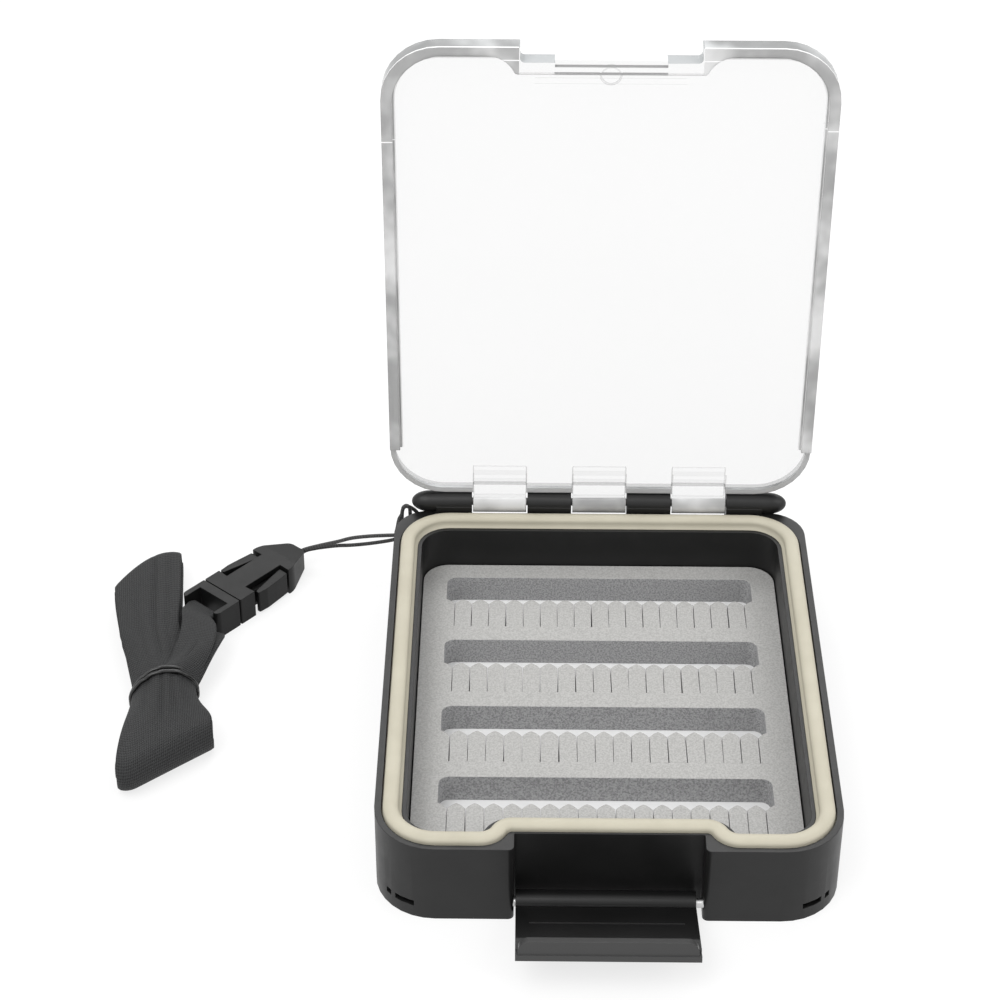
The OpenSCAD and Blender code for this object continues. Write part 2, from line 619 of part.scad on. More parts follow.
module webbing_lead() color([0.29, 0.29, 0.3]) {
    m = len(lead_line);
    strap([for (i = [0:m - 1]) let (p = lead_line[i],
        d = lead_line[min(i + 1, m - 1)] - lead_line[max(i - 1, 0)],
        across = [sin(p[4]), -cos(p[4]), 0], n = unit(cross(across, [d[0], d[1], d[2]])))
        [for (c = [[-1, -1], [1, -1], [1, 1], [-1, 1]])
            [p[0], p[1], p[2]] + c[0] * p[3] * across + c[1] * strap_t / 2 * n]]);
}

module bundle_tie() color([0.08, 0.08, 0.08]) {
    top = run_z(strap_runs - 1) + strap_t / 2 + 0.15 + tie_t;
    half = waist_half + 0.8 + tie_t;
    translate([waist_x + 0.25, waist_y - 0.6, 0]) rotate([90, 0, 0]) linear_extrude(tie_w)
        ring_of(rounded([[half, top], [-half, top], [-half, 0], [half, 0]], [1.1, 1.1, 1.1, 1.1]),
            rounded([[half - tie_t, top - tie_t], [tie_t - half, top - tie_t], [tie_t - half, tie_t],
                [half - tie_t, tie_t]], [0.6, 0.6, 0.6, 0.6]));
}

base_case();
gasket_seal();
foam_backing();
foam_insert();
hinge_pin();
lid();
latch_pin();
latch();
lanyard_cord();
buckle_socket();
buckle_plug();
release_arm_left();
release_arm_right();
webbing_lead();
webbing_hank();
bundle_tie();
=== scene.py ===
import math

import bmesh
import bpy
from mathutils import Matrix, Vector


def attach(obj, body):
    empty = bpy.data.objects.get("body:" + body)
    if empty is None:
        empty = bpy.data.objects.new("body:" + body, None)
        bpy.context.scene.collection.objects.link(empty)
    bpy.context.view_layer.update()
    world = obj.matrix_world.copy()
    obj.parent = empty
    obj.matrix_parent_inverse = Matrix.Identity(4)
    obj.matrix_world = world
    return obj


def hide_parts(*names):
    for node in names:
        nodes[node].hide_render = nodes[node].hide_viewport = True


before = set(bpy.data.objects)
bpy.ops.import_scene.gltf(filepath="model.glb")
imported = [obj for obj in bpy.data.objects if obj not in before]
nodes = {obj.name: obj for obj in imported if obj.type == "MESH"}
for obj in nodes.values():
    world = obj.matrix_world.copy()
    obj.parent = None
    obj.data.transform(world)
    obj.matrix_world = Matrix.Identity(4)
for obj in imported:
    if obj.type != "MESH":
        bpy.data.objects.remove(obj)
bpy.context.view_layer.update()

mm = 0.001
scene = bpy.context.scene


# camera
camera = {"lens": 93.6, "place": (-18.3, -436.55, 375.6), "down": 35.58, "left": 0.56, "roll": 0.10}
cameraData = bpy.data.cameras.new("camera")
cameraData.lens = camera["lens"]
cameraData.sensor_width = 36
cameraData.clip_start = 0.01
cameraData.clip_end = 20
cameraObject = bpy.data.objects.new("camera", cameraData)
scene.collection.objects.link(cameraObject)
cameraObject.matrix_world = (
    Matrix.Translation(Vector(camera["place"]) * mm)
    @ Matrix.Rotation(math.radians(camera["left"]), 4, "Z")
    @ Matrix.Rotation(math.radians(90 - camera["down"]), 4, "X")
    @ Matrix.Rotation(math.radians(camera["roll"]), 4, "Z")
)
scene.camera = cameraObject
scene.view_settings.view_transform = "Standard"
print("camera placed")


# shader maths: a wire is a socket, a number or a vector, with the usual operators
class Wire:
    def __init__(self, tree, socket):
        self.tree = tree
        self.socket = socket

    def node(self, kind, inputs=(), settings=(), out=0):
        made = self.tree.nodes.new(kind)
        for name, value in dict(settings).items():
            setattr(made, name, value)
        for name, value in dict(inputs).items():
            if isinstance(value, Wire):
                self.tree.links.new(value.socket, made.inputs[name])
            else:
                made.inputs[name].default_value = value
        return Wire(self.tree, made.outputs[out])

    def math(self, operation, other=None):
        inputs = {0: self} if other is None else {0: self, 1: other}
        return self.node("ShaderNodeMath", inputs, {"operation": operation})

    def __add__(self, other):
        return self.math("ADD", other)

    def __sub__(self, other):
        return self.math("SUBTRACT", other)

    def __mul__(self, other):
        return self.math("MULTIPLY", other)

    def __truediv__(self, other):
        return self.math("DIVIDE", other)

    def __gt__(self, other):
        return self.math("GREATER_THAN", other)

    def __lt__(self, other):
        return self.math("LESS_THAN", other)

    def __rsub__(self, other):
        return (self * -1.0) + other

    __radd__ = __add__
    __rmul__ = __mul__

    def sine(self):
        return self.math("SINE")

    def size(self):
        return self.math("ABSOLUTE")

    def ramp(self, low, high):
        return self.node("ShaderNodeMapRange", {0: self, 1: low, 2: high}, {"interpolation_type": "SMOOTHSTEP"})

    # inputs 6 and 7 and output 2 are the mix node's colours
    def blend(self, first, second):
        return self.node("ShaderNodeMix", {0: self, 6: first, 7: second}, {"data_type": "RGBA"}, out=2)

    def split(self):
        made = self.tree.nodes.new("ShaderNodeSeparateXYZ")
        self.tree.links.new(self.socket, made.inputs[0])
        return [Wire(self.tree, o) for o in made.outputs]

    def noise(self, scale, detail=2.0, rough=0.5):
        inputs = {"Vector": self, "Scale": scale, "Detail": detail, "Roughness": rough}
        return self.node("ShaderNodeTexNoise", inputs)


class Surface:
    def __init__(self, name, fixed):
        self.material = bpy.data.materials.new(name)
        self.material.use_nodes = True
        self.tree = self.material.node_tree
        self.shader = next(n for n in self.tree.nodes if n.type == "BSDF_PRINCIPLED")
        self.start = Wire(self.tree, None)
        for socket, value in fixed.items():
            self.shader.inputs[socket].default_value = value

    def coordinates(self, kind="Object"):
        made = self.tree.nodes.new("ShaderNodeTexCoord")
        return Wire(self.tree, made.outputs[kind])

    def drive(self, socket, wire):
        self.tree.links.new(wire.socket, self.shader.inputs[socket])

    def bump(self, height, distance, strength=1.0, bevel=0.0):
        inputs = {"Height": height, "Distance": distance, "Strength": strength}
        if bevel:
            inputs["Normal"] = self.start.node("ShaderNodeBevel", {"Radius": bevel}, {"samples": 6})
        self.drive("Normal", self.start.node("ShaderNodeBump", inputs))


def grey(level, tint=(1, 1, 1)):
    return (level * tint[0], level * tint[1], level * tint[2], 1)


def satin(name, colour, second, rough, grain=2600, depth=0.00001, bevel=0.0002, **fixed):
    made = Surface(name, {"Roughness": rough, **fixed})
    where = made.coordinates()
    patch = where.noise(90, 3).ramp(0.3, 0.7)
    made.drive("Base Color", patch.blend(colour, second))
    made.drive("Roughness", where.noise(300, 2) * 0.12 + (rough - 0.06))
    made.bump(where.noise(grain, 2), depth, 0.6, bevel)
    return made.material


cool = (0.98, 1, 1)
caseSurface = satin("case black", grey(0.007), grey(0.010), 0.42, **{"Specular IOR Level": 0.36})
buckleSurface = satin("buckle grey", grey(0.006, cool), grey(0.009, cool), 0.38, **{"Specular IOR Level": 0.16})
gasketSurface = satin("gasket cream", (0.455, 0.425, 0.335, 1), (0.5, 0.47, 0.375, 1), 0.55, 1500, 0.00002, 0.0)
backingSurface = satin("backing white", grey(0.82), grey(0.86), 0.7, 900, 0.00002, 0.0)
pinSurface = satin("pin steel", grey(0.55), grey(0.62), 0.3, 4000, 0.000004, 0.0001, Metallic=1.0)
hingePinSurface = satin("hinge pin steel", grey(0.075, (1.1, 1, 0.95)), grey(0.1), 0.35, 4000, 0.000004, 0.0,
                        Metallic=0.6)
tieSurface = satin("tie black", grey(0.01), grey(0.013), 0.22, 2000, 0.00001, 0.0)


# the latch's hook and end strip are painted lighter than its plate, a painted highlight for the light they
# catch; ridge is their distance in front of the origin, in millimetres
latchPiece = {"ridge": (71.1, 71.7), "plate": (0.005, 0.007), "hook": 0.05}


def makeLatchSurface():
    q = latchPiece
    made = Surface("latch black", {"Roughness": 0.34, "Specular IOR Level": 0.3})
    where = made.coordinates()
    forward = where.split()[1] * -1000
    plate = where.noise(90, 3).ramp(0.3, 0.7).blend(grey(q["plate"][0]), grey(q["plate"][1]))
    # painted highlight: the colour turns lighter from the ridge forward
    made.drive("Base Color", forward.ramp(*q["ridge"]).blend(plate, grey(q["hook"])))
    made.bump(where.noise(2600, 2), 0.00001, 0.6, 0.0002)
    return made.material


latchSurface = makeLatchSurface()
print("plain surfaces made")


def makeFoamSurface():
    made = Surface("foam grey", {"Roughness": 0.85})
    where = made.coordinates()
    facing = made.coordinates("Normal").split()[2]
    top = facing.ramp(0.4, 0.8)
    specks = where.noise(2600, 3, 0.65).ramp(0.32, 0.66)
    # painted shade: faces that turn sideways, the slots' walls, get a darker colour than the top
    light = specks.blend(grey(0.34, (1, 0.99, 0.96)), grey(0.46, (1, 0.99, 0.965)))
    wallShade = specks.blend(grey(0.21, (0.99, 0.99, 1)), grey(0.42, (0.99, 0.99, 1)))
    made.drive("Base Color", top.blend(wallShade, light))
    made.bump(where.noise(2300, 3, 0.6), 0.00006, 0.7)
    return made.material


foamSurface = makeFoamSurface()


# the knit's columns and rows and the braid's turns are in millimetres of the pieces' own UV
def makeKnitSurface():
    columnPitch, rowPitch = 0.72, 0.62
    made = Surface("knitted strap", {"Roughness": 0.7, "Specular IOR Level": 0.3})
    along, across = made.coordinates("UV").split()[:2]
    column = across * (math.tau / columnPitch)
    row = along * (math.tau / rowPitch) + column.sine().size() * 1.4
    height = (column.sine().size() * 0.7) + (row.sine() * 0.3)
    fuzz = made.coordinates().noise(1500, 3, 0.7)
    # painted shade: the knit's hollows are coloured darker and its raised loops lighter
    loopShade = (height + fuzz * 0.6).ramp(0.0, 1.2)
    made.drive("Base Color", loopShade.blend(grey(0.003), grey(0.037, (0.98, 1, 1.02))))
    made.bump(height + fuzz * 0.35, 0.00016, 0.8)
    return made.material


def makeBraidSurface():
    turn, strands = 1.3, 4
    made = Surface("braided cord", {"Roughness": 0.6})
    along, around = made.coordinates("UV").split()[:2]
    one = (along * (math.tau / turn) + around * (math.tau * strands)).sine()
    two = (along * (math.tau / turn) - around * (math.tau * strands)).sine()
    height = one * two
    # painted shade: the hollows between the braid's strands are coloured darker than the strands' crowns
    made.drive("Base Color", height.ramp(-1, 1).blend(grey(0.016), grey(0.055)))
    made.bump(height, 0.00009, 0.8)
    return made.material


# clear lid: its look follows the closed lid's plan, so its coordinates are turned shut first
lidPiece = {"hinge": (0, 58.7, 20.9), "open": 90, "halfWidth": 48.5, "front": -58.3, "rear": 55.9,
            "corner": 12.4, "border": 19.3, "under": 20.6, "top": 23.3, "borderWide": 2.75, "borderStop": 43.3,
            "notch": 19.1, "notchFloor": -54.9, "bend": -52.15, "catch": 11.8,
            "ringAt": (0, -51.7), "ring": 2.2,
            "lineAt": -49.5, "lineHalf": 16, "markLeft": -36.1, "markRight": -39.3, "markFrom": 45.6,
            "knuckle": 6.2, "knucklePitch": 23.2, "armStart": 50.5, "bandLow": 51.8, "bandHigh": 53.2}
# half widths of the lid's drawn lines, and how far a face may lie from its level
lidLine = {"mark": 0.14, "ring": 0.2, "line": 0.1, "arm": 0.16, "edge": 0.28, "bend": 0.25, "near": 0.3}
# how much of the background each zone hides
lidCover = {"field": 0.09, "border": 0.86, "outer": 0.9, "inner": 0.5, "floor": 0.9, "catch": 0.85,
            "edge": 0.7, "mark": 0.6, "rim": 0.4, "rear": 0.8, "ring": 0.2, "line": 0.1, "bend": 0.4,
            "arm": 0.3, "band": 0.08,
            "knuckle": 0.12}


def both(*masks):
    made = masks[0]
    for mask in masks[1:]:
        made = made.math("MULTIPLY", mask)
    return made


def makeLidSurface():
    q, thin, cover = lidPiece, lidLine, lidCover
    made = Surface("clear lid", {"Roughness": 0.12, "IOR": 1.49})
    turn = {"Center": tuple(c * mm for c in q["hinge"]), "Angle": math.radians(q["open"])}
    flip = {"Center": (0, 0, 0), "Angle": math.radians(q["open"])}
    kind = {"rotation_type": "X_AXIS"}
    place = made.start.node("ShaderNodeVectorRotate", {"Vector": made.coordinates(), **turn}, kind)
    facing = made.start.node("ShaderNodeVectorRotate", {"Vector": made.coordinates("Normal"), **flip}, kind)
    x, y, z = [c * 1000 for c in place.split()]
    nz = facing.split()[2]
    # distance inside the plate's rounded outline
    middle, reach = (q["front"] + q["rear"]) / 2, (q["rear"] - q["front"]) / 2
    dx = (x.size() - (q["halfWidth"] - q["corner"])).math("MAXIMUM", 0.0)
    dy = ((y - middle).size() - (reach - q["corner"])).math("MAXIMUM", 0.0)
    flat = (x.size() - q["halfWidth"]).math("MAXIMUM", (y - middle).size() - reach)
    corner = (dx * dx + dy * dy).math("SQRT") - q["corner"]
    inside = both(dx * dy > 0.0001, corner) + both(dx * dy < 0.0001, flat)
    side = nz.size() < 0.5
    face = 1 - side
    low = z < q["under"] - 0.4
    under = z < q["under"] + thin["near"]
    plate = y < q["rear"] + 0.1
    beforeStop = y < q["borderStop"]
    recess = both(x.size() < q["notch"] + 0.2, y < q["front"] + 8)
    elsewhere = 1 - recess
    knuckleX = (x / q["knucklePitch"]).math("FRACT")
    knuckleX = (knuckleX - (knuckleX > 0.5)).size() * q["knucklePitch"]
    hinged = x.size() < q["knucklePitch"] + q["knuckle"] + 0.1
    streak = place.noise(46, 3, 0.6).ramp(0.4, 0.64)
    white = grey(0.93)
    # border: its own face, and a strip of the plate beside it
    strip = both(face, under, inside > -q["borderWide"], beforeStop, elsewhere)
    border = both(face, low, elsewhere).math("MAXIMUM", strip)
    # edge: a white line along the border's inner edge, a painted highlight
    edge = both(face, under, inside < -q["borderWide"], inside > -q["borderWide"] - thin["edge"], beforeStop,
                elsewhere)
    markAt = (x > 0.0) * (q["markRight"] - q["markLeft"]) + q["markLeft"]
    mark = both((y - markAt).size() < thin["mark"], x.size() > q["markFrom"], face)
    outer = both(side, inside > -0.8, plate, elsewhere)
    glint = both(outer, z < q["border"] + 0.5)
    inner = both(side, inside < -0.8, elsewhere, y < q["borderStop"] + 0.5)
    rim = both(face, z > q["top"] - thin["near"], inside > -0.9, plate)
    rear = both(face, under, y > q["borderStop"], inside > -1.3, plate,
                1 - both(knuckleX < q["knuckle"] + 0.1, hinged))
    # latch recess: its floor, the catch's rebate, a thin line along the bend and the ring
    floorWall = both(side, recess, y < q["notchFloor"] + thin["near"])
    catchWall = both(side, recess, y > q["notchFloor"] + thin["near"], x.size() < q["catch"] + 0.1)
    inCatch = x.size() < q["catch"]
    bend = both(face, low, recess, y > q["bend"] - thin["bend"], 1 - inCatch)
    ringX, ringY = x - q["ringAt"][0], y - q["ringAt"][1]
    ringGap = (ringX.math("POWER", 2.0) + ringY.math("POWER", 2.0)).math("SQRT") - q["ring"]
    ring = both(ringGap.size() < thin["ring"], face, under)
    line = both((y - q["lineAt"]).size() < thin["line"], x.size() < q["lineHalf"], face)
    # knuckles
    arm = both(face, hinged, y > q["armStart"], (knuckleX - q["knuckle"]).size() < thin["arm"])
    bandMiddle, bandHalf = (q["bandLow"] + q["bandHigh"]) / 2, (q["bandHigh"] - q["bandLow"]) / 2
    band = both(face, hinged, knuckleX < q["knuckle"], (y - bandMiddle).size() < bandHalf)
    knuckle = both(side, 1 - plate)

    colour = border.blend(grey(0.3), streak.blend(grey(0.34), grey(0.72)))
    colour = outer.blend(colour, streak.blend(grey(0.24, cool), grey(0.6, (0.98, 1, 1.01))))
    # the edge line, a painted highlight, and the marks are drawn white
    colour = (edge + mark).math("MINIMUM", 1.0).blend(colour, white)
    colour = glint.blend(colour, white)
    colour = floorWall.blend(colour, inCatch.blend(grey(0.42, (0.96, 1, 1.02)), grey(0.74)))
    colour = catchWall.blend(colour, grey(0.3))
    colour = rim.blend(colour, grey(0.5))
    colour = rear.blend(colour, grey(0.44))
    colour = (ring + bend + line + arm).math("MINIMUM", 1.0).blend(colour, grey(0.4))
    made.drive("Base Color", colour)
    zones = {"outer": outer, "inner": inner, "floor": floorWall, "catch": catchWall, "edge": edge, "mark": mark,
             "rim": rim, "rear": rear, "ring": ring, "line": line, "bend": bend, "arm": arm, "band": band,
             "knuckle": knuckle}
    solid = border * cover["border"] + cover["field"]
    for name, mask in zones.items():
        solid = solid + mask * cover[name]
    made.drive("Alpha", solid.math("MINIMUM", 1.0))
    made.bump(made.coordinates().noise(60, 2), 0.00002, 0.2, 0.0004)
    return made.material


knitSurface = makeKnitSurface()
braidSurface = makeBraidSurface()
lidSurface = makeLidSurface()

nodeSurfaces = {
    "base_case": caseSurface, "gasket_seal": gasketSurface, "foam_backing": backingSurface,
    "foam_insert": foamSurface, "hinge_pin": hingePinSurface, "lid": lidSurface, "latch_pin": pinSurface,
    "latch": latchSurface, "lanyard_cord": braidSurface, "buckle_socket": buckleSurface,
    "buckle_plug": buckleSurface, "release_arm_left": buckleSurface, "release_arm_right": buckleSurface,
    "webbing_lead": knitSurface, "webbing_hank": knitSurface, "bundle_tie": tieSurface,
}
# moulded curves are shaded round where their facets meet at less than this angle, in degrees; only
# the normals change
roundedNodes = {"base_case": 24, "lid": 24, "latch": 28}


def roundShading(mesh, angle):
    limit = math.cos(math.radians(angle))
    spots = [tuple(round(c * 1e6) for c in vertex.co) for vertex in mesh.vertices]
    around = {}
    for face in mesh.polygons:
        for v in face.vertices:
            around.setdefault(spots[v], []).append((face.normal.copy(), face.area))
    normals = []
    for face in mesh.polygons:
        for v in face.vertices:
            total = Vector()
            for normal, area in around[spots[v]]:
                if normal.dot(face.normal) > limit:
                    total += normal * area
            normals.append(total.normalized() if total.length else face.normal.copy())
    mesh.polygons.foreach_set("use_smooth", [True] * len(mesh.polygons))
    mesh.normals_split_custom_set(normals)


for name, surface in nodeSurfaces.items():
    nodes[name].data.materials.clear()
    nodes[name].data.materials.append(surface)
    if name in roundedNodes:
        roundShading(nodes[name].data, roundedNodes[name])
print("surfaces on the frame")


# mesh building, in millimetres
def addMesh(name, points, faces, surface, uvs=None):
    mesh = bpy.data.meshes.new(name)
    mesh.from_pydata([tuple(c * mm for c in p) for p in points], [], faces)
    if uvs:
        layer = mesh.uv_layers.new(name="UVMap")
        for loop in mesh.loops:
            layer.data[loop.index].uv = uvs[loop.vertex_index]
    mesh.polygons.foreach_set("use_smooth", [True] * len(mesh.polygons))
    mesh.materials.append(surface)
    mesh.update()
    made = bpy.data.objects.new(name, mesh)
    scene.collection.objects.link(made)
    return made


def gridFaces(rows, columns, closedRows=False, closedColumns=True):
    faces = []
    for i in range(rows if closedRows else rows - 1):
        for k in range(columns if closedColumns else columns - 1):
            a, b = i * columns + k, i * columns + (k + 1) % columns
            c, d = ((i + 1) % rows) * columns + (k + 1) % columns, ((i + 1) % rows) * columns + k
            faces.append((a, b, c, d))
    return faces


def ease(t):
    t = max(0.0, min(1.0, t))
    return t * t * (3 - 2 * t)


def smoothPath(points, steps):
    out = []
    last = len(points) - 1
    for i in range(last):
        a, b = points[max(i - 1, 0)], points[i]
        c, d = points[i + 1], points[min(i + 2, last)]
        for k in range(steps):
            t = k / steps
            spot = []
            for p, q, r, s in zip(a, b, c, d):
                square, cube = 2 * p - 5 * q + 4 * r - s, 3 * q - p - 3 * r + s
                spot.append(0.5 * (2 * q + (r - p) * t + square * t * t + cube * t ** 3))
            out.append(spot)
    out.append(list(points[-1]))
    return out


def pathLength(points):
    return sum((Vector(b[:3]) - Vector(a[:3])).length for a, b in zip(points, points[1:]))


def tube(name, path, radius, sides, surface):
    points, uvs = [], []
    travelled = 0.0
    side = None
    for i, p in enumerate(path):
        before, after = Vector(path[max(i - 1, 0)]), Vector(path[min(i + 1, len(path) - 1)])
        ahead = (after - before).normalized()
        if i:
            travelled += (Vector(p) - Vector(path[i - 1])).length
        side = ahead.orthogonal().normalized() if side is None else (side - ahead * side.dot(ahead)).normalized()
        other = ahead.cross(side)
        for k in range(sides + 1):
            a = math.tau * k / sides
            points.append(Vector(p) + radius * (side * math.cos(a) + other * math.sin(a)))
            uvs.append((travelled, k / sides))
    faces = gridFaces(len(path), sides + 1, closedColumns=False)
    faces = [tuple(reversed(f)) for f in faces]
    faces.append(tuple(range(sides)))
    faces.append(tuple(reversed([(len(path) - 1) * (sides + 1) + k for k in range(sides)])))
    return addMesh(name, points, faces, surface, uvs)


# cord: from the buckle's tip to the corner, round its post, through its own bight and back
cordPiece = {
    "radius": 0.45, "sides": 14, "exit": (-72.9, 58.7, 4.3),
    "points": [
        (-72.9, 58.7, 4.3), (-71.3, 60.4, 4.3), (-69.71, 61, 4.75), (-67.31, 61.2, 5.42),
        (-64.5, 61.3, 6.16), (-61.69, 61.3, 6.93), (-58.47, 61.2, 8.02), (-54.47, 61, 8.75),
        (-50.48, 60.8, 9.18), (-48.29, 60.6, 9.44), (-47.4, 60.1, 10.2), (-45.2, 58.9, 12.6),
        (-43.4, 57.6, 13.8), (-42.2, 55.9, 14.1), (-42.3, 54.3, 14.1), (-43.4, 53.1, 14.1),
        (-44.8, 52.3, 14.1), (-46.3, 52.4, 14.1), (-47, 53.7, 14.2), (-47.2, 55.6, 14.9),
        (-46.86, 57.5, 16.26), (-46.23, 57.9, 17.43), (-45.98, 58.1, 18.64), (-45.73, 58.2, 19.39),
        (-45.1, 58.3, 19.75), (-44.49, 58.4, 19.3), (-44.28, 58.5, 18.41), (-44.24, 58.7, 16.77),
        (-43.97, 59.1, 14.83), (-43.23, 59.6, 13.7), (-42.38, 60.1, 13.83), (-42.17, 60.4, 15.07),
        (-42.85, 60.4, 16.47), (-43.78, 60.3, 17.51), (-44.62, 60.1, 18.13), (-45.43, 59.9, 18.36),
        (-45.95, 59.8, 17.8), (-46.16, 59.7, 17), (-46.25, 59.5, 15.69), (-46.45, 58.8, 14.44),
        (-46.8, 57.3, 13.2), (-47.2, 55.5, 12.8), (-47, 53.7, 12.6), (-46.3, 52.3, 12.5),
        (-44.8, 52.1, 12.5), (-43.4, 53.1, 12.5), (-42.3, 54.3, 12.5), (-42.4, 56, 12.4), (-44, 58.1, 11.6),
        (-46.6, 60.2, 9.2), (-48.37, 61.4, 7.57), (-50.59, 61.8, 6.71), (-54.62, 62.2, 5.69),
        (-58.63, 62.4, 5.05), (-61.82, 62.3, 4.95), (-64.61, 62.2, 4.65), (-67.42, 62.1, 4.2),
        (-69.81, 61.8, 3.65), (-71.1, 60.6, 3.1), (-72.7, 58.5, 2.9),
    ],
}
cordPath = smoothPath(cordPiece["points"], 6)
cord = tube("cord", cordPath, cordPiece["radius"], cordPiece["sides"], braidSurface)
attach(cord, "case")
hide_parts("lanyard_cord")
[[c * mm for c in p] for p in cordPath]
print("cord", round(pathLength(cordPath), 1), "mm")


# strap: folded to and fro in a flat bundle, gathered at its waist and through the buckle's plug;
# u runs back from the waist, v to the right, and share is v as a part of the half width
strapPiece = {
    "thick": 0.6, "width": 18, "runs": 8, "step": 1.05, "low": 0.95, "waist": (-97.3, 9), "waistHalf": 7,
    "back": 40.3, "front": -22.5, "columns": 34, "stations": 22, "backSlant": 0.95, "frontSlant": 0.85,
    "bow": 4.8, "tuck": 3.2, "tuckFrom": 0.55, "crown": 1.2, "dome": 4.6, "ripple": 0.12,
    "drift": 0.25, "driftPitch": 31.0,
    "buckle": (-87.4, 42), "turn": 49, "barAlong": -6.4, "barTurn": 1.55, "barHalf": 4.2, "barHeight": 3.5,
    # creases: share, half width in shares, depth, and the u where they fade out
    "creases": [(-0.05, 0.06, 0.7, -20, 3), (0.28, 0.06, 0.6, -19, 3), (-0.5, 0.09, 0.35, -16, 4),
                (0.62, 0.08, 0.4, -18, 3), (0.1, 0.07, 0.8, 3, 44), (-0.4, 0.1, 0.4, 2, 36),
                (0.55, 0.08, 0.45, 8, 44)],
}

sp = strapPiece


def hankMid(u):
    return sp["waist"][0] - (0.27 if u > 0 else 0.11) * u + 0.13 * max(0, u - 20)


def hankHalf(u):
    if u < 0:
        return sp["waistHalf"] + (sp["width"] / 2 + 0.6 - sp["waistHalf"]) * ease(-u / 24)
    return sp["waistHalf"] - 0.5 * ease(u / 20) + 0.5 * ease((u - 20) / 22)


def runHeight(level):
    return sp["low"] + level * sp["step"]


def runLevel(i):
    return sp["runs"] - 1 - i if i % 2 == 0 else i - 1


def hankLine(stations):
    line = []
    for i in range(sp["runs"]):
        even = i % 2 == 0
        start = 0 if i == 0 else sp["back"] if even else sp["front"]
        stop = 0 if i == sp["runs"] - 1 else sp["front"] if even else sp["back"]
        line += [(start + (stop - start) * k / stations, runHeight(runLevel(i))) for k in range(stations + 1)]
        if i < sp["runs"] - 1:
            z0, z1 = runHeight(runLevel(i)), runHeight(runLevel(i + 1))
            r = (z0 - z1) / 2
            end, out = (sp["front"], -abs(r)) if even else (sp["back"], abs(r))
            steps = 6 + int(abs(r) * 3)
            for k in range(1, steps):
                a = math.radians(90 - 180 * k / steps)
                line.append((end + out * math.cos(a), (z0 + z1) / 2 + r * math.sin(a)))
    return line


def wrinkle(u, v, z):
    share = v / hankHalf(u)
    top = runHeight(sp["runs"] - 1)
    waist = math.exp(-((u + 1) / 13) ** 2)
    lift = waist * (sp["crown"] - sp["dome"] * share * share)
    for at, wide, deep, low, high in sp["creases"]:
        reach = ease((u - low) / 8) * ease((high - u) / 8)
        lift -= deep * reach * math.exp(-((share - at) / wide) ** 2)
    lift += sp["ripple"] * math.sin(u / 4.3 + 1.1 * share)
    return lift * (z / top)


def hankPoint(u, v, z):
    lift = wrinkle(u, v, z)
    share = v / hankHalf(u)
    slant = sp["backSlant"] * ease((u - 6) / 34) + sp["frontSlant"] * min(1.0, max(0.0, u / sp["front"]))
    bow = sp["bow"] * (1 - share ** 2) * ease((u - 16) / 24)
    tuck = sp["tuck"] * (max(0.0, -share - sp["tuckFrom"]) / (1 - sp["tuckFrom"])) ** 2 * ease(-u / 20)
    return Vector((hankMid(u) + v, sp["waist"][1] + u + v * slant + bow + tuck, z + lift))


def leadPoint(along, left, z, half, heading):
    turn = math.radians(sp["turn"])
    axis = Vector((math.cos(turn), math.sin(turn)))
    bar = Vector(sp["buckle"]) + sp["barAlong"] * axis
    mid = Vector(sp["waist"]) * (1 - along) + (bar - 0.6 * axis) * along
    return (mid.x + left, mid.y, z, half, heading)


def leadLine():
    topZ, secondZ = runHeight(sp["runs"] - 1), runHeight(sp["runs"] - 2)
    turn, bar, half = math.radians(sp["turn"]), sp["barTurn"], sp["barHalf"]
    axis = Vector((math.cos(turn), math.sin(turn)))
    at = Vector(sp["buckle"]) + sp["barAlong"] * axis
    upper = [leadPoint(0, 0, topZ, sp["waistHalf"], 90), leadPoint(0.1, 1.9, topZ, 5.2, 87),
             leadPoint(0.24, 3.2, topZ, 4.3, 84), leadPoint(0.45, 3.6, topZ, 4.2, 80),
             leadPoint(0.68, 2.4, topZ - 0.3, 4.2, 74),
             leadPoint(0.84, 0.6, topZ - 1.1, half, 63), leadPoint(0.93, 0, topZ - 2.2, half - 0.2, 52),
             leadPoint(1, 0, sp["barHeight"] + bar + 0.2, half, sp["turn"])]
    lower = [leadPoint(1, 0, sp["barHeight"] - bar, half, sp["turn"]),
             leadPoint(0.9, 0.4, sp["barHeight"] - bar + 0.4, half - 0.3, 54),
             leadPoint(0.68, 4, secondZ - 1.8, half - 0.1, 80), leadPoint(0.5, 4.6, secondZ, half + 0.2, 88),
             leadPoint(0.24, 3.2, secondZ, 4.8, 89), leadPoint(0, 0, secondZ, sp["waistHalf"], 90)]
    wrap = []
    for k in range(9):
        a = math.radians(80 - 20 * k)
        wrap.append((at.x + axis.x * bar * math.cos(a), at.y + axis.y * bar * math.cos(a),
                     sp["barHeight"] + bar * math.sin(a), half, sp["turn"]))
    return smoothPath(upper, 7) + [list(w) for w in wrap] + smoothPath(lower, 7)


